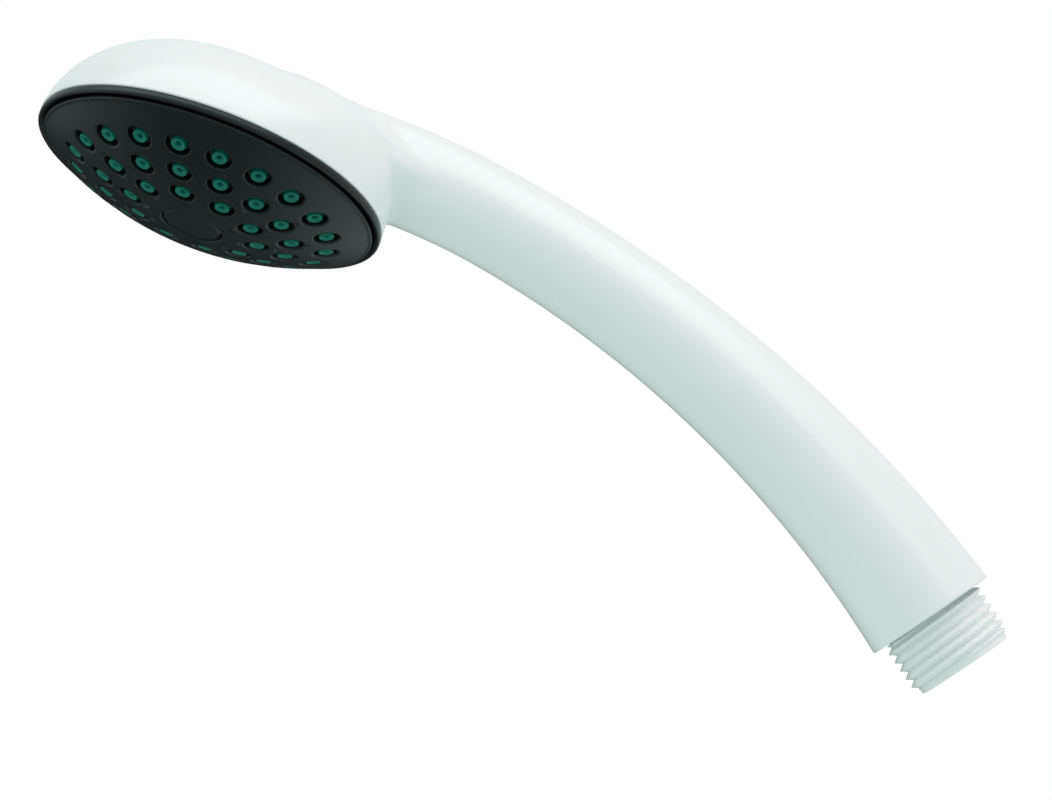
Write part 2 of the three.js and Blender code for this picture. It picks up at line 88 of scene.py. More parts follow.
FLOOR_DROP = 0.7
FLOOR_RADIUS = 9
LAMP_SIZE = (1.0, 0.7)
LAMP_COLOUR = (1, 0.82, 0.85)

floor_mesh = bpy.data.meshes.new("studio_floor")
floor_shape = bmesh.new()
bmesh.ops.create_circle(floor_shape, cap_ends=True, segments=96, radius=FLOOR_RADIUS)
bmesh.ops.translate(floor_shape, verts=floor_shape.verts, vec=(0, 0, -FLOOR_DROP))
floor_shape.to_mesh(floor_mesh)
floor = bpy.data.objects.new("studio_floor", floor_mesh)
bpy.context.scene.collection.objects.link(floor)
paper = bpy.data.materials.new("studio_paper")
paper.use_nodes = True
paper_look = {
    "Base Color": (0.9, 0.9, 0.9, 1),
    "Roughness": 0.9,
    "Emission Color": (1, 1, 1, 1),
    "Emission Strength": 1.0,
}
for socket_name, value in paper_look.items():
    paper.node_tree.nodes["Principled BSDF"].inputs[socket_name].default_value = value
floor_mesh.materials.append(paper)
floor.visible_diffuse = False
floor.visible_glossy = False
floor.visible_shadow = False


class Socket:
    """A value, colour or vector in a material, so that shader maths reads as sums."""

    def __init__(self, tree, link=None):
        self.tree = tree
        self.link = link

    def node(self, kind, settings=None, inputs=None, out=0):
        made = self.tree.nodes.new("ShaderNode" + kind)
        for name, value in (settings or {}).items():
            setattr(made, name, value)
        for name, value in (inputs or {}).items():
            if isinstance(value, Socket):
                self.tree.links.new(value.link, made.inputs[name])
            else:
                made.inputs[name].default_value = value
        return Socket(self.tree, made.outputs[out] if made.outputs else None)

    def maths(self, operation, first, second):
        return self.node("Math", {"operation": operation}, {0: first, 1: second})

    def __add__(self, other):
        return self.maths("ADD", self, other)

    def __sub__(self, other):
        return self.maths("SUBTRACT", self, other)

    def __rsub__(self, other):
        return self.maths("SUBTRACT", other, self)

    def __mul__(self, other):
        return self.maths("MULTIPLY", self, other)

    __radd__ = __add__
    __rmul__ = __mul__

    def smooth(self, low, high):
        settings = {"interpolation_type": "SMOOTHSTEP"}
        return self.node("MapRange", settings, {"Value": self, "From Min": low, "From Max": high})

    def noise(self, place, scale, detail=3.0, roughness=0.5):
        inputs = {"Vector": place, "Scale": scale, "Detail": detail, "Roughness": roughness}
        return self.node("TexNoise", None, inputs)

    def between(self, first, second):
        return self.node("Mix", {"data_type": "RGBA"}, {0: self, 6: (*first, 1), 7: (*second, 1)}, 2)

    def dot(self, axis):
        return self.node("VectorMath", {"operation": "DOT_PRODUCT"}, {0: self, 1: axis}, "Value")


light_up = (view_up * 0.95 + view_right * 0.31).normalized()
light_side = light_up.cross(back).normalized()
world = bpy.data.worlds.new("studio")
world.use_nodes = True
sky = world.node_tree
sky.nodes.clear()
sky_start = Socket(sky)
way = sky_start.node("TexCoord", out="Generated")
upward = way.dot(light_up)
nearward = way.dot(back)
sideward = way.dot(light_side)
# 0 is towards the camera, 90 is up towards the light, 180 is away behind the handset
turn = upward.maths("ARCTAN2", upward, nearward) * math.degrees(1)
# gloss mirrors a bright panel overhead, a dim table below, and a soft sheen at both its ends
panel = turn.smooth(38, 46) * (1 - turn.smooth(88, 112)) * (1 - sideward.smooth(0.3, 0.5))
behind = turn.smooth(92, 125)
below = 1 - turn.smooth(-75, -30)
table = turn.smooth(-165, -115) * 0.13
sheen = sideward.smooth(0.05, 0.42) * 0.56 + sideward.smooth(-0.38, -0.68) * 0.48
mirrored = 0.55 + panel * 1.6 + behind * 0.15 - below * (0.53 - table - sheen)
ray = sky_start.node("LightPath", out="Is Glossy Ray")
eye = sky_start.node("LightPath", out="Is Camera Ray")
soft = 0.585 - upward * 0.12
strength = soft * (1 - ray) * (1 - eye) + mirrored * ray + eye
tint = eye.between((0.99, 1.17, 1.14), (1, 1, 1))
sky_light = sky_start.node("Background", None, {"Color": tint, "Strength": strength})
sky_start.node("OutputWorld", None, {"Surface": sky_light})
bpy.context.scene.world = world
bpy.context.scene.view_settings.view_transform = "Standard"
bpy.context.scene.view_settings.look = "None"

for lamp_name, lamp_way, lamp_power in (
    ("overhead_softbox", light_up * 0.9 + back * 0.24, 4.3),
    ("head_softbox", view_right * -0.8 + view_up * 0.5 + back * 0.3, 1.15),
    ("side_softbox", view_right * 0.9 + view_up * 0.1 + back * 0.15, 1.2),
):
    lamp = bpy.data.lights.new(lamp_name, "AREA")
    lamp.shape = "RECTANGLE"
    lamp.size, lamp.size_y = LAMP_SIZE
    lamp.energy = lamp_power
    lamp.color = LAMP_COLOUR
    holder = bpy.data.objects.new(lamp_name, lamp)
    holder.location = LOOKED_AT + lamp_way
    holder.rotation_mode = "QUATERNION"
    holder.rotation_quaternion = (-lamp_way).to_track_quat("-Z", "Y")
    holder.visible_glossy = False
    bpy.context.scene.collection.objects.link(holder)

# ---------------------------------------------------------------- body shell
# The head's back and the handle are one hollow moulding in glossy white plastic. It is round at
# the inlet, bowed, and widens at the neck into the head's bowl, which it meets with a sharp crease
# near the face and a broad fillet behind.

MM = 0.001
RIM_RADIUS = 33.1
HEAD_DEPTH = 20.3
HEAD_LEAN = 0.05
BOW_RADIUS = 221.6
BOW_ALONG = 22.6
BOW_AHEAD = 206.6
FACE_ANGLE = math.radians(36)
NECK_START = 6
NECK_END = 50
NECK_RADIUS = 9.2
NECK_HALF_WIDTH = 17
NECK_HALF_HEIGHT = 7.8
NECK_LIFT = 3.1
END_RADIUS = 12.6
HANDLE_FOOT = 11.2
TAPER_START = 37
MOUTH_RADIUS = 10.85
SPIGOT_SOCKET_RADIUS = 10.1
EDGE_ROUND = 0.3
SKIN_STEP = 0.8
SKIN_MARGIN = 1.4
SMOOTHING_ROUNDS = 6
MID_HANDLE = 0.06
HEAD_LEVEL = 0.1

end_along = BOW_ALONG + BOW_RADIUS * math.sin(FACE_ANGLE)
end_ahead = BOW_AHEAD - BOW_RADIUS * math.cos(FACE_ANGLE)
# from the head's own axes (side, towards the handle, out of the face) to the row's, in metres
along_axis = Vector((0, math.sin(FACE_ANGLE), -math.cos(FACE_ANGLE)))
ahead_axis = Vector((0, -math.cos(FACE_ANGLE), -math.sin(FACE_ANGLE)))
rim_centre = Vector((0, 0, HANDLE_FOOT)) - along_axis * end_along - ahead_axis * end_ahead
head_turn = Matrix(((1, 0, 0), along_axis, ahead_axis)).transposed().to_4x4()
from_head = Matrix.Scale(MM, 4) @ Matrix.Translation(rim_centre) @ head_turn


def finish_of(name, shader):
    """A material whose look is made by shader(place), which gives the sockets of its surface."""
    material = bpy.data.materials.new(name)
    material.use_nodes = True
    tree = material.node_tree
    tree.nodes.clear()
    start = Socket(tree)
    place = start.node("TexCoord", out="Object")
    surface = start.node("BsdfPrincipled", None, shader(place))
    start.node("OutputMaterial", None, {"Surface": surface})
    return material


def moulded_white(place):
    mottle = place.noise(place, 38, 2)
    flow = place.noise(place, 210, 3)
    peel = place.noise(place, 1500, 2)
    grime = place.noise(place, 95, 4, 0.6)
    height = flow * 0.7 + peel * 0.3
    return {
        "Base Color": (mottle * 0.7 + grime * 0.3).between((0.895, 0.912, 0.907), (0.865, 0.89, 0.883)),
        "Roughness": 0.175 + mottle * 0.04 + grime * 0.03 + peel * 0.02,
        "Normal": place.node("Bump", None, {"Strength": 0.06, "Distance": 0.00012, "Height": height}),
        "IOR": 1.52,
    }


white_gloss = finish_of("white_moulded_plastic", moulded_white)


def smooth_step(value, low, high):
    share = np.clip((value - low) / (high - low), 0, 1)
    return share * share * (3 - 2 * share)


def bowl_distance(side, along, ahead):
    """Roughly how far a point is outside the head's bowl, which is fuller towards the handle."""
    out = np.hypot(side, along) / RIM_RADIUS + 1e-6
    depth = HEAD_DEPTH * (1 - HEAD_LEAN * along / RIM_RADIUS)
    down = np.abs(ahead) / depth + 1e-6
    full = smooth_step(along / (RIM_RADIUS * out), 0.2, 0.95) * smooth_step(out, 0.1, 0.5)
    power, drop = 2.4 + 2.2 * full, 1.8 + 0.8 * full
    level = out**power + down**drop
    slope = np.hypot(power * out ** (power - 1) / RIM_RADIUS, drop * down ** (drop - 1) / depth)
    return power * (level - level ** (1 - 1 / power)) / np.maximum(slope, 0.01)


def handle_distance(side, along, ahead):
    """Roughly how far a point is outside the handle's bowed tube, and how far before its start."""
    angle = np.arctan2(along - BOW_ALONG, BOW_AHEAD - ahead)
    place = BOW_ALONG + BOW_RADIUS * np.sin(angle)
    run = np.clip((place - TAPER_START) / (end_along - TAPER_START), 0, 1.2)
    plain = NECK_RADIUS + (END_RADIUS - NECK_RADIUS) * run * (0.03 + 0.97 * run)
    neck = np.clip((NECK_END - place) / (NECK_END - NECK_START), 0, 1)
    tall = plain + (NECK_HALF_HEIGHT - plain) * neck**3
    lift = NECK_LIFT * neck**1.5
    rise = BOW_RADIUS - np.hypot(along - BOW_ALONG, BOW_AHEAD - ahead) - lift
    wide = plain + (NECK_HALF_WIDTH - plain) * neck**4
    power = 2 + 3 * neck * (rise < 0)
    out = np.abs(side) / wide
    level = np.sqrt(out**power + (rise / tall) ** 2) + 1e-6
    slope = np.hypot(power / 2 * out ** (power - 1) / wide, rise / tall**2) + 1e-6
    return (level - 1) * level / slope, NECK_START - place


def blended(first, second, reach):
    """The smooth union of two distances."""
    share = np.clip(0.5 + 0.5 * (second - first) / reach, 0, 1)
    return second * (1 - share) + first * share - reach * share * (1 - share)


def body_distance(points):
    """The joint of head and handle is sharp near the face, and melts away towards the back."""
    side, along, ahead = points
    bowl = bowl_distance(side, along, ahead)
    handle, start = handle_distance(side, along, ahead)
    handle = -blended(-handle, -start, 6.0)
    reach = 1.3 + 7.5 * smooth_step(-ahead, 7, 12.5) * (1 - 0.6 * smooth_step(-ahead, 14, 19))
    return blended(bowl, handle, reach)


def skin_of(distance, low, high, step):
    """Points and four-sided faces of the surface where distance is zero."""
    counts = [int(round((h - l) / step)) + 1 for l, h in zip(low, high)]
    axes = [l + step * np.arange(n) for l, n in zip(low, counts)]
    value = distance(np.meshgrid(*axes, indexing="ij"))
    cells = np.array(counts) - 1
    total = np.zeros((cells.prod(), 3))
    share = np.zeros(cells.prod())
    quads = []
    for axis in range(3):
        near = np.take(value, range(counts[axis] - 1), axis)
        far = np.take(value, range(1, counts[axis]), axis)
        edge = np.argwhere((near < 0) != (far < 0))
        start, end = near[tuple(edge.T)], far[tuple(edge.T)]
        point = edge.astype(float)
        point[:, axis] += start / (start - end)
        others = [(axis + 1) % 3, (axis + 2) % 3]
        inside = ((edge[:, others] > 0) & (edge[:, others] < cells[others])).all(1)
        edge, point, start, end = edge[inside], point[inside], start[inside], end[inside]
        ring = []
        for first, second in ((-1, -1), (0, -1), (0, 0), (-1, 0)):
            cell = edge.copy()
            cell[:, others[0]] += first
            cell[:, others[1]] += second
            flat = np.ravel_multi_index(cell.T, cells)
            total += np.stack([np.bincount(flat, p, cells.prod()) for p in point.T], 1)
            share += np.bincount(flat, minlength=cells.prod())
            ring.append(flat)
        ring = np.stack(ring, 1)
        turned = start > end
        ring[turned] = ring[turned][:, ::-1]
        quads.append(ring)
    used = share > 0
    number = np.cumsum(used) - 1
    points = np.array(low) + step * total[used] / share[used][:, None]
    return points, number[np.concatenate(quads)]


def settle(points, quads, distance, rounds):
    """Evens out the points, then puts them exactly on the surface."""
    nudge = 0.02
    pairs = np.concatenate([quads[:, [0, 1]], quads[:, [1, 2]], quads[:, [2, 3]], quads[:, [3, 0]]])
    pairs = np.concatenate([pairs, pairs[:, ::-1]])
    degree = np.bincount(pairs[:, 0], minlength=len(points))[:, None]
    for turn in range(rounds + 3):
        if turn < rounds:
            near = [np.bincount(pairs[:, 0], points[pairs[:, 1], k], len(points)) for k in range(3)]
            points = 0.4 * points + 0.6 * np.stack(near, 1) / degree
        here = distance(points.T)
        rises = [distance((points + n).T) - distance((points - n).T) for n in nudge * np.eye(3)]
        slope = np.stack(rises, 1) / (2 * nudge)
        points = points - slope * (here / (slope**2).sum(1))[:, None]
    return points


def placed(name, shape, material, node):
    """Makes the shape a smooth-shaded piece of the handset, in place of one node."""
    mesh = bpy.data.meshes.new(name)
    bmesh.ops.recalc_face_normals(shape, faces=shape.faces)
    shape.to_mesh(mesh)
    shape.free()
    for polygon in mesh.polygons:
        polygon.use_smooth = True
    mesh.materials.append(material)
    piece = bpy.data.objects.new(name, mesh)
    bpy.context.scene.collection.objects.link(piece)
    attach(piece, "handset")
    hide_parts(node)
    return piece


def turn_in(shape, edges, profile, centre, along):
    """Carries an open edge loop through (radius, height) pairs about its axis, in millimetres."""
    for radius, height in profile:
        grown = bmesh.ops.extrude_edge_only(shape, edges=edges)["geom"]
        edges = [part for part in grown if isinstance(part, bmesh.types.BMEdge)]
        for vertex in {corner for edge in edges for corner in edge.verts}:
            flat = vertex.co - centre * MM
            flat -= along * flat.dot(along)
            vertex.co = (centre + flat.normalized() * radius + along * height) * MM


def rounded(radius, height, upward, steps=5):
    """(radius, height) pairs of a quarter round at the outer corner (radius, height)."""
    pairs = []
    for k in range(steps + 1):
        angle = k / steps * math.pi / 2
        across = radius - EDGE_ROUND * (1 - math.cos(angle))
        pairs.append((across, height + upward * EDGE_ROUND * (1 - math.sin(angle))))
    return pairs


def cut_off(shape, faces, place, outward):
    """Cuts away what lies outward of a plane, among the given faces only."""
    parts = faces + list({part for face in faces for part in (*face.edges, *face.verts)})
    bmesh.ops.bisect_plane(shape, geom=parts, plane_co=place, plane_no=outward, clear_outer=True)


skin_side = RIM_RADIUS + SKIN_MARGIN
skin_low = (-skin_side, -skin_side, -26.4)
skin_high = (skin_side, end_along + 9, end_ahead + 14.4)
shell_points, shell_quads = skin_of(body_distance, skin_low, skin_high, SKIN_STEP)
# the bowl's formula repeats itself in front of the rim, and that half isn't wanted
not_wanted = (shell_points[:, 2] > 1.5) & (shell_points[:, 1] < 40)
shell_quads = shell_quads[~not_wanted[shell_quads].any(1)]
still_used, shell_quads = np.unique(shell_quads, return_inverse=True)
shell_points, shell_quads = shell_points[still_used], shell_quads.reshape(-1, 4)
shell_points = settle(shell_points, shell_quads, body_distance, SMOOTHING_ROUNDS)

shell_shape = bmesh.new()
shell_corners = [shell_shape.verts.new(from_head @ Vector(point)) for point in shell_points]
for quad in shell_quads:
    shell_shape.faces.new([shell_corners[k] for k in quad])
lower_handle = [face for face in shell_shape.faces if face.calc_center_median().z < MID_HANDLE]
cut_off(shell_shape, lower_handle, Vector((0, 0, (HANDLE_FOOT + 0.5) * MM)), (0, 0, -1))
by_head = [face for face in shell_shape.faces if face.calc_center_median().z > HEAD_LEVEL]
cut_off(shell_shape, by_head, from_head @ Vector((0, 0, -0.5)), ahead_axis)
rim_edges = [edge for edge in shell_shape.edges if edge.is_boundary and edge.verts[0].co.z > MID_HANDLE]
foot_edges = [edge for edge in shell_shape.edges if edge.is_boundary and edge.verts[0].co.z < MID_HANDLE]
rim_profile = rounded(RIM_RADIUS, 0, -1) + [(31.4, 0), (31, -0.4), (31, -6)]
turn_in(shell_shape, rim_edges, rim_profile, rim_centre, ahead_axis)
foot_profile = rounded(END_RADIUS - 0.02, HANDLE_FOOT, 1) + [(MOUTH_RADIUS + 0.25, HANDLE_FOOT)]
foot_profile += [(MOUTH_RADIUS, HANDLE_FOOT + 0.3), (MOUTH_RADIUS, HANDLE_FOOT + 1.6)]
foot_profile += [(SPIGOT_SOCKET_RADIUS, HANDLE_FOOT + 1.6), (SPIGOT_SOCKET_RADIUS, HANDLE_FOOT + 8)]
turn_in(shell_shape, foot_edges, foot_profile, Vector(), Vector((0, 0, 1)))
placed("shower_body", shell_shape, white_gloss, "body_shell")

# ---------------------------------------------------------------- hose inlet
# The threaded nipple is a separate white moulding pushed into the handle's end. Its thread is
# the standard half-inch pipe thread, rounded at crest and root, with a chamfered lead-in.

THREAD_CREST = 10.46
THREAD_ROOT = 9.34
THREAD_PITCH = 1.814
THREAD_START = 0.51
LEAD_IN = 0.9
INLET_BORE = 7.4
SPIGOT_RADIUS = 9.8
SPIGOT_GROOVE = 8.5
SPIGOT_TOP = 27
TUBE_SEAL_SEAT = 5.4
ROWS_PER_PITCH = 16
INLET_SEGMENTS = 120


def thread_radius(height, turn):
    phase = height / THREAD_PITCH - turn - THREAD_START
    wave = math.asin(0.95 * math.cos(2 * math.pi * phase)) / math.asin(0.95)
    radius = (THREAD_CREST + THREAD_ROOT) / 2 + (THREAD_CREST - THREAD_ROOT) / 2 * wave
    return min(radius, THREAD_ROOT + max(height - LEAD_IN, 0))


def surface_of_rows(shape, rows, closed=False):
    """Joins rows of corners, each a ring round the axis, with four-sided faces."""
    rings = [[shape.verts.new(point) for point in row] for row in rows]
    if closed:
        rings.append(rings[0])
    for low, high in zip(rings, rings[1:]):
        for k, corner in enumerate(low):
            after = (k + 1) % len(low)
            shape.faces.new((corner, low[after], high[after], high[k]))
    return rings


def ring_row(radius, height, segments):
    turns = (2 * math.pi * k / segments for k in range(segments))
    return [Vector((radius * math.cos(t), radius * math.sin(t), height)) * MM for t in turns]


mouth_profile = [(INLET_BORE, 6), (INLET_BORE, 0.35), (INLET_BORE + 0.05, 0.15)]
mouth_profile += [(INLET_BORE + 0.2, 0.03), (INLET_BORE + 0.4, 0), (8.9, 0)]
inlet_rows = [ring_row(r, h, INLET_SEGMENTS) for r, h in mouth_profile]
thread_rows = int((HANDLE_FOOT - 0.4) / THREAD_PITCH * ROWS_PER_PITCH)
for row in range(thread_rows + 1):
    points = []
    for k in range(INLET_SEGMENTS):
        turn = k / INLET_SEGMENTS
        height = 0.1 + row * THREAD_PITCH / ROWS_PER_PITCH
        radius = thread_radius(height, turn)
        angle = 2 * math.pi * turn
        points.append(Vector((radius * math.cos(angle), radius * math.sin(angle), height)) * MM)
    inlet_rows.append(points)
spigot_profile = [(9.3, 11), (9.3, 12.2), (SPIGOT_RADIUS, 12.7), (SPIGOT_RADIUS, 17.8)]
spigot_profile += [(SPIGOT_GROOVE, 17.8), (SPIGOT_GROOVE, 20), (SPIGOT_RADIUS, 20)]
spigot_profile += [(SPIGOT_RADIUS, SPIGOT_TOP), (TUBE_SEAL_SEAT, SPIGOT_TOP), (TUBE_SEAL_SEAT, 24.7)]
spigot_profile += [(3.9, 24.7), (3.9, 20)]
spigot_profile += [(2.6, 20), (2.6, 18.8), (INLET_BORE, 18.8)]
inlet_rows += [ring_row(r, h, INLET_SEGMENTS) for r, h in spigot_profile]
inlet_shape = bmesh.new()
surface_of_rows(inlet_shape, inlet_rows, closed=True)
placed("hose_inlet", inlet_shape, white_gloss, "inlet_nipple")

# ---------------------------------------------------------------- inlet filter
# A disc of woven stainless wire in a rolled steel ring drops into the inlet's bore and keeps
# grit out of the valve. It is what shows when one looks into the thread.

WIRE_PITCH = 0.9
WIRE_RADIUS = 0.16
MESH_RADIUS = 6.5
FILTER_RING_INSIDE = 6.3
FILTER_RING_OUTSIDE = 7.05
FILTER_RING_HEIGHT = 0.9


def brushed_steel(place):
    streak = place.noise(place, 900, 4)
    stain = place.noise(place, 160, 3).smooth(0.4, 0.7)
    return {
        "Base Color": stain.between((0.66, 0.67, 0.68), (0.56, 0.56, 0.55)),
        "Metallic": 1.0,
        "Roughness": 0.26 + streak * 0.16,
        "Normal": place.node("Bump", None, {"Strength": 0.1, "Distance": 0.00005, "Height": streak}),
    }


stainless = finish_of("stainless_steel", brushed_steel)


def add_tube(shape, centres, radius, sides=6):
    """A closed round tube along a row of centres."""
    rows = []
    for k, centre in enumerate(centres):
        ahead = centres[min(k + 1, len(centres) - 1)] - centres[max(k - 1, 0)]
        turn = ahead.to_track_quat("Z", "Y")
        angles = (2 * math.pi * j / sides for j in range(sides))
        ring = (Vector((radius * math.cos(a), radius * math.sin(a), 0)) for a in angles)
        rows.append([centre + turn @ corner for corner in ring])
    rings = surface_of_rows(shape, rows)
    shape.faces.new(rings[0][::-1])
    shape.faces.new(rings[-1])


filter_low, filter_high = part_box("inlet_filter")
filter_level = (filter_low.z + filter_high.z) / 2
filter_shape = bmesh.new()
ring_profile = [(FILTER_RING_INSIDE, 0.05), (FILTER_RING_INSIDE + 0.15, 0)]
ring_profile += [(FILTER_RING_OUTSIDE - 0.15, 0), (FILTER_RING_OUTSIDE, 0.1)]
ring_profile += [(r, FILTER_RING_HEIGHT - h) for r, h in reversed(ring_profile)]
ring_foot = filter_low.z / MM
surface_of_rows(filter_shape, [ring_row(r, ring_foot + h, 72) for r, h in ring_profile], closed=True)
wires = int(MESH_RADIUS / WIRE_PITCH)
for direction in (0, 1):
    for k in range(-wires, wires + 1):
        across = k * WIRE_PITCH
        reach = math.sqrt(MESH_RADIUS**2 - across**2)
        steps = max(6, int(reach * 5))
        centres = []
        for j in range(steps + 1):
            run = reach * (2 * j / steps - 1)
            weave = WIRE_RADIUS * 1.05 * math.cos(math.pi * (run / WIRE_PITCH + k + direction))
            flat = (run, across) if direction else (across, run)
            centres.append(Vector((*flat, 0)) * MM + Vector((0, 0, filter_level + weave * MM)))
        add_tube(filter_shape, centres, WIRE_RADIUS * MM)
placed("filter_gauze", filter_shape, stainless, "inlet_filter")

# ---------------------------------------------------------------- valve, regulator and seals
# Behind the filter sit a flow regulator and a spring-loaded check valve in plain acetal. Black
# rubber rings seal the nipple, the curved inner tube and the water chamber.


def plain_acetal(place):
    mottle = place.noise(place, 300, 3)
    grain = place.noise(place, 2200, 2)
    return {
        "Base Color": mottle.between((0.5, 0.53, 0.53), (0.42, 0.45, 0.45)),
        "Roughness": 0.42 + grain * 0.15,
        "Normal": place.node("Bump", None, {"Strength": 0.15, "Distance": 0.00004, "Height": grain}),
    }


def sealing_rubber(place):
    bloom = place.noise(place, 700, 4)
    return {
        "Base Color": bloom.between((0.012, 0.012, 0.013), (0.03, 0.03, 0.03)),
        "Roughness": 0.55 + bloom * 0.2,
        "Normal": place.node("Bump", None, {"Strength": 0.2, "Distance": 0.00005, "Height": bloom}),
    }


def inner_white(place):
    mottle = place.noise(place, 120, 3)
    return {
        "Base Color": mottle.between((0.8, 0.82, 0.81), (0.74, 0.76, 0.75)),
        "Roughness": 0.45 + mottle * 0.1,
        "Normal": place.node("Bump", None, {"Strength": 0.1, "Distance": 0.00005, "Height": mottle}),
    }


def repaint(material, nodes):
    for node in nodes:
        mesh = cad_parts[node].data
        mesh.materials.clear()
        mesh.materials.append(material)


acetal = finish_of("grey_acetal", plain_acetal)
rubber = finish_of("black_seal_rubber", sealing_rubber)
chamber_white = finish_of("inner_white_plastic", inner_white)
repaint(acetal, ["waterway_tube", "flow_regulator_body", "check_valve_housing", "check_valve_guide"])
repaint(acetal, ["check_valve_poppet"])
repaint(rubber, ["chamber_o_ring", "tube_o_ring_head", "tube_o_ring_inlet", "nipple_o_ring"])
repaint(rubber, ["flow_regulator_o_ring", "check_valve_seal"])
repaint(stainless, ["centre_screw", "centre_screw_washer"])
repaint(chamber_white, ["chamber_plate"])

# ---------------------------------------------------------------- check valve spring
# A small coil of round stainless wire holds the valve shut. Its top bears on the guide, and in the
# real valve it shortens as the water lifts the poppet; the coil built here keeps one length.

SPRING_WIRE_RADIUS = 0.28
SPRING_TURNS = 3.5
SPRING_STEPS = 126

spring_low, spring_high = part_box("check_valve_spring")
coil_radius = spring_high.x - SPRING_WIRE_RADIUS * MM
coil_foot = spring_low.z + SPRING_WIRE_RADIUS * MM
coil_height = spring_high.z - spring_low.z - 2 * SPRING_WIRE_RADIUS * MM
coil_centres = []
for k in range(SPRING_STEPS + 1):
    share = k / SPRING_STEPS
    angle = 2 * math.pi * SPRING_TURNS * share
    level = coil_foot + coil_height * share
    coil_centres.append(Vector((coil_radius * math.cos(angle), coil_radius * math.sin(angle), level)))
spring_shape = bmesh.new()
add_tube(spring_shape, coil_centres, SPRING_WIRE_RADIUS * MM, 12)
spring = placed("valve_spring_coil", spring_shape, stainless, "check_valve_spring")
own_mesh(spring)

# ---------------------------------------------------------------- spray face
# The domed face is a satin black moulding with three rings of plain round holes, each with a
# small chamfer, and a round recess in its middle for the cap. It sits inside the bezel.

FACE_RADIUS = 31.8
FACE_SPHERE = 62
FACE_APEX = 10.75
FACE_WALL = 2
FACE_FOOT = 1.25
SKIRT_WIDTH = 2.2
SKIRT_FOOT = -3.4
HOLE_RADIUS = 2.4
HOLE_CHAMFER = 0.14
RECESS_RADIUS = 5.85
RECESS_FLOOR = 9
CELL_SIDES = 32
NOZZLE_RINGS = ((10, 12.37, 0), (15, 18.4, 12), (20, 24.64, 0))
BAND_EDGES = (9.2, 15.4, 21.5, 28.2)
ARC_STEPS = (12, 8, 6)


def satin_black(place):
    mottle = place.noise(place, 60, 3)
    grain = place.noise(place, 2600, 2)
    wear = place.noise(place, 120, 5, 0.7)
    return {
        "Base Color": (mottle * 0.6 + wear * 0.3).between((0.002, 0.0035, 0.005), (0.006, 0.009, 0.012)),
        "Roughness": 0.265 + mottle * 0.05 + grain * 0.03 + wear * 0.04,
        "Normal": place.node("Bump", None, {"Strength": 0.12, "Distance": 0.00004, "Height": grain}),
        "IOR": 1.42,
    }


black_satin = finish_of("black_moulded_plastic", satin_black)


def face_height(radius, below=0.0):
    return FACE_APEX - FACE_SPHERE + math.sqrt((FACE_SPHERE - below) ** 2 - radius**2)


def on_face(x, y):
    return Vector((x, y, face_height(math.hypot(x, y))))


def polar(radius, degrees):
    angle = math.radians(degrees)
    return radius * math.sin(angle), radius * math.cos(angle)


def cell_outline(inner, outer, start, end, arc_steps):
    """CELL_SIDES corners round one ring's share of the face: inner arc, side, outer arc, side."""
    side_steps = CELL_SIDES // 2 - arc_steps
    corners = [polar(inner, start + (end - start) * k / arc_steps) for k in range(arc_steps)]
    corners += [polar(inner + (outer - inner) * k / side_steps, end) for k in range(side_steps)]
    corners += [polar(outer, end + (start - end) * k / arc_steps) for k in range(arc_steps)]
    corners += [polar(outer + (inner - outer) * k / side_steps, start) for k in range(side_steps)]
    return corners


def square_to_face(x, y):
    """The frame that stands on the face at (x, y) with its z square to it."""
    foot = on_face(x, y)
    outward = foot - Vector((0, 0, FACE_APEX - FACE_SPHERE))
    return Matrix.Translation(foot) @ outward.to_track_quat("Z", "Y").to_matrix().to_4x4()


hole_profile = [(HOLE_RADIUS + HOLE_CHAMFER, 0.02), (HOLE_RADIUS + 0.05, 0.08), (HOLE_RADIUS, 0.2)]
hole_profile += [(HOLE_RADIUS - 0.02, 1.2), (HOLE_RADIUS - 0.05, FACE_WALL)]
hole_profile += [(HOLE_RADIUS - 0.5, FACE_WALL + 0.05)]
nozzle_frames = []
face_shape = bmesh.new()
bands = zip(NOZZLE_RINGS, BAND_EDGES, BAND_EDGES[1:], ARC_STEPS)
for (count, radius, first), inner, outer, arc_steps in bands:
    for k in range(count):
        middle_turn = first + 360 * k / count
        half = 180 / count
        frame_here = square_to_face(*polar(radius, middle_turn))
        nozzle_frames.append(frame_here)
        outline = cell_outline(inner, outer, middle_turn - half, middle_turn + half, arc_steps)
        outline = [on_face(x, y) for x, y in outline]
        flat = [frame_here.inverted() @ corner for corner in outline]
        angles = [math.atan2(corner.y, corner.x) for corner in flat]
        rows = [outline]
        for size in (None, HOLE_RADIUS + 1, HOLE_RADIUS + 0.45, HOLE_RADIUS + HOLE_CHAMFER + 0.04):
            row = []
            for angle, corner in zip(angles, flat):
                reach = size or (0.55 * math.hypot(corner.x, corner.y) + 0.45 * (HOLE_RADIUS + 1))
                here = frame_here @ Vector((reach * math.cos(angle), reach * math.sin(angle), 0))
                row.append(on_face(here.x, here.y))
            rows.append(row)
        for size, below in hole_profile:
            sag = size**2 / FACE_SPHERE / 2 if below < 0.1 else 0
            ring = (Vector((size * math.cos(a), size * math.sin(a), -below - sag)) for a in angles)
            rows.append([frame_here @ corner for corner in ring])
        surface_of_rows(face_shape, rows)


def face_rows(pairs, steps):
    return [[Vector((*polar(r, 360 * k / steps), h)) for k in range(steps)] for r, h in pairs]


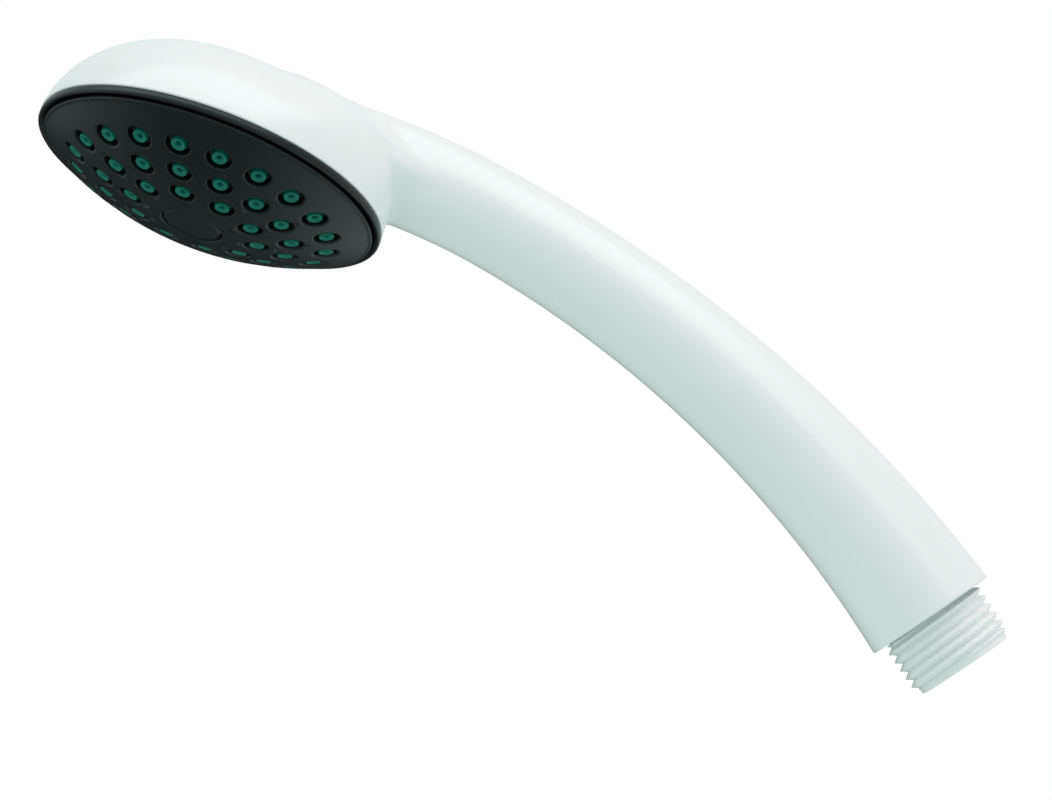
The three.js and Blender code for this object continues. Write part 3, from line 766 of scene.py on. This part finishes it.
centre_pairs = [(RECESS_RADIUS - 1, RECESS_FLOOR), (RECESS_RADIUS - 0.1, RECESS_FLOOR)]
centre_pairs += [(RECESS_RADIUS, RECESS_FLOOR + 0.1), (RECESS_RADIUS, face_height(RECESS_RADIUS) - 0.2)]
centre_pairs += [(RECESS_RADIUS + 0.06, face_height(RECESS_RADIUS) - 0.06)]
centre_radii = (RECESS_RADIUS + 0.2, RECESS_RADIUS + 0.3, 7, 8, BAND_EDGES[0])
centre_pairs += [(r, face_height(r)) for r in centre_radii]
surface_of_rows(face_shape, face_rows(centre_pairs, 120))
outer_pairs = [(r, face_height(r)) for r in (BAND_EDGES[3], 29.2, 30.2, 31, FACE_RADIUS - 0.3)]
edge_level = face_height(FACE_RADIUS - 0.25)
outer_pairs += [(FACE_RADIUS - 0.18, edge_level + 0.03), (FACE_RADIUS - 0.05, edge_level - 0.04)]
skirt_outside = FACE_RADIUS - SKIRT_WIDTH
outer_pairs += [(FACE_RADIUS, edge_level - 0.2), (FACE_RADIUS, FACE_FOOT), (skirt_outside, FACE_FOOT)]
outer_pairs += [(skirt_outside, SKIRT_FOOT), (skirt_outside - 1, SKIRT_FOOT)]
outer_pairs += [(skirt_outside - 1, face_height(skirt_outside - 1, FACE_WALL))]
surface_of_rows(face_shape, face_rows(outer_pairs, 120))
bmesh.ops.transform(face_shape, matrix=from_head, verts=face_shape.verts)
bmesh.ops.remove_doubles(face_shape, verts=face_shape.verts, dist=0.00002)
placed("spray_face", face_shape, black_satin, "face_plate")

# ---------------------------------------------------------------- nozzles
# One soft teal moulding lies behind the face and pushes a nozzle up through every hole. Each
# nozzle ends in a rounded rim, a shallow dish and a jet hole, a little below the face.

TIP_RADIUS = 1.38
JET_RADIUS = 0.56
TIP_SINK = 0.2
TIP_SEGMENTS = 28
MAT_GAP = 0.3
MAT_WALL = 1.5


def soft_teal(place):
    mottle = place.noise(place, 500, 3)
    grain = place.noise(place, 3000, 2)
    return {
        "Base Color": mottle.between((0.001, 0.135, 0.092), (0.002, 0.175, 0.122)),
        "Roughness": 0.42 + grain * 0.12,
        "Normal": place.node("Bump", None, {"Strength": 0.15, "Distance": 0.00004, "Height": grain}),
        "Specular IOR Level": 0.22,
    }


teal = finish_of("teal_elastomer", soft_teal)
tip_profile = [(TIP_RADIUS + 0.3, -3.1), (TIP_RADIUS + 0.12, -1.2), (TIP_RADIUS + 0.02, -0.25)]
tip_profile += [(TIP_RADIUS - 0.02, -0.1), (TIP_RADIUS - 0.1, -0.02), (TIP_RADIUS - 0.2, 0)]
tip_profile += [(TIP_RADIUS - 0.3, -0.03), (TIP_RADIUS - 0.4, -0.16), (0.8, -0.24)]
tip_profile += [(JET_RADIUS + 0.06, -0.26), (JET_RADIUS, -0.36), (JET_RADIUS - 0.04, -2.9)]
mat_shape = bmesh.new()
for frame_here in nozzle_frames:
    rows = []
    for radius, height in tip_profile:
        turns = (2 * math.pi * k / TIP_SEGMENTS for k in range(TIP_SEGMENTS))
        ring = (Vector((radius * math.cos(t), radius * math.sin(t), height - TIP_SINK)) for t in turns)
        rows.append([frame_here @ corner for corner in ring])
    rings = surface_of_rows(mat_shape, rows)
    mat_shape.faces.new(rings[-1])
web_top = FACE_WALL + MAT_GAP
web_radii = (7, 12, 17, 22, 27.8)
web_pairs = [(r, face_height(r, web_top)) for r in web_radii]
web_pairs += [(r, face_height(r, web_top + MAT_WALL)) for r in reversed(web_radii)]
surface_of_rows(mat_shape, face_rows(web_pairs, 96), closed=True)
bmesh.ops.transform(mat_shape, matrix=from_head, verts=mat_shape.verts)
placed("nozzle_mat_soft", mat_shape, teal, "nozzle_mat")

# ---------------------------------------------------------------- bezel
# A separate black ring closes the joint between the body's rim and the face. It clips inside
# the rim, has a rounded lip outside with a small step, and leaves a narrow groove round the face.

BEZEL_RADIUS = 33.15
BEZEL_LIP = 32.12
BEZEL_TOP = 1.5
BEZEL_ROUND = 0.42
CLIP_INSIDE = 30.0
CLIP_OUTSIDE = 30.7
CLIP_FOOT = -4.4

bezel_pairs = [(CLIP_INSIDE, 0.95), (CLIP_INSIDE, CLIP_FOOT), (CLIP_OUTSIDE, CLIP_FOOT)]
bezel_pairs += [(CLIP_OUTSIDE, 0.25), (BEZEL_RADIUS - 0.25, 0.25)]
bezel_pairs += [(BEZEL_RADIUS - 0.06, 0.31), (BEZEL_RADIUS, 0.48), (BEZEL_RADIUS, 0.95)]
for k in range(5):
    angle = math.radians(15 + 75 * k / 4)
    out = BEZEL_RADIUS - BEZEL_ROUND * (1 - math.cos(angle))
    bezel_pairs.append((out, BEZEL_TOP - BEZEL_ROUND * (1 - math.sin(angle))))
bezel_pairs += [(BEZEL_LIP + 0.46, BEZEL_TOP), (BEZEL_LIP + 0.38, BEZEL_TOP - 0.05)]
bezel_pairs += [(BEZEL_LIP + 0.34, BEZEL_TOP - 0.2), (BEZEL_LIP + 0.26, BEZEL_TOP - 0.26)]
bezel_pairs += [(BEZEL_LIP + 0.08, BEZEL_TOP - 0.26), (BEZEL_LIP, BEZEL_TOP - 0.34)]
bezel_pairs += [(BEZEL_LIP, 1.05), (BEZEL_LIP - 0.1, 0.95)]
bezel_shape = bmesh.new()
surface_of_rows(bezel_shape, face_rows(bezel_pairs, 180), closed=True)
bmesh.ops.transform(bezel_shape, matrix=from_head, verts=bezel_shape.verts)
placed("rim_bezel", bezel_shape, black_satin, "bezel_ring")

# ---------------------------------------------------------------- centre cap
# A plain black cap snaps over the centre screw. Its edge is rounded, it sits just below the
# face, and a small notch towards the handle lets it be levered out.

CAP_RADIUS = 5.6
CAP_SINK = 0.25
CAP_SEGMENTS = 144
NOTCH_HALF_WIDTH = 0.9
NOTCH_INSIDE = 4.9
NOTCH_DEPTH = 0.75

cap_pairs = [(r, 0) for r in (0.6, 1.5, 2.5, 3.4, 4.2, 4.6, 4.8, 5)] + [(5.15, -0.01), (5.3, -0.05)]
cap_pairs += [(5.42, -0.12), (5.52, -0.22), (5.58, -0.36), (CAP_RADIUS, -0.55), (CAP_RADIUS, -1.2)]
cap_shape = bmesh.new()
cap_rows = []
for radius, drop in cap_pairs:
    row = []
    for k in range(CAP_SEGMENTS):
        x, y = polar(radius, 360 * k / CAP_SEGMENTS)
        in_notch = abs(x) < NOTCH_HALF_WIDTH and y > NOTCH_INSIDE
        sunk = NOTCH_DEPTH if in_notch else 0
        row.append(Vector((x, y, face_height(radius) - CAP_SINK + min(drop, -sunk))))
    cap_rows.append(row)
cap_rings = surface_of_rows(cap_shape, cap_rows)
cap_shape.faces.new(cap_rings[0])
cap_shape.faces.new(cap_rings[-1])
bmesh.ops.transform(cap_shape, matrix=from_head, verts=cap_shape.verts)
placed("centre_cap_plain", cap_shape, black_satin, "centre_cap")
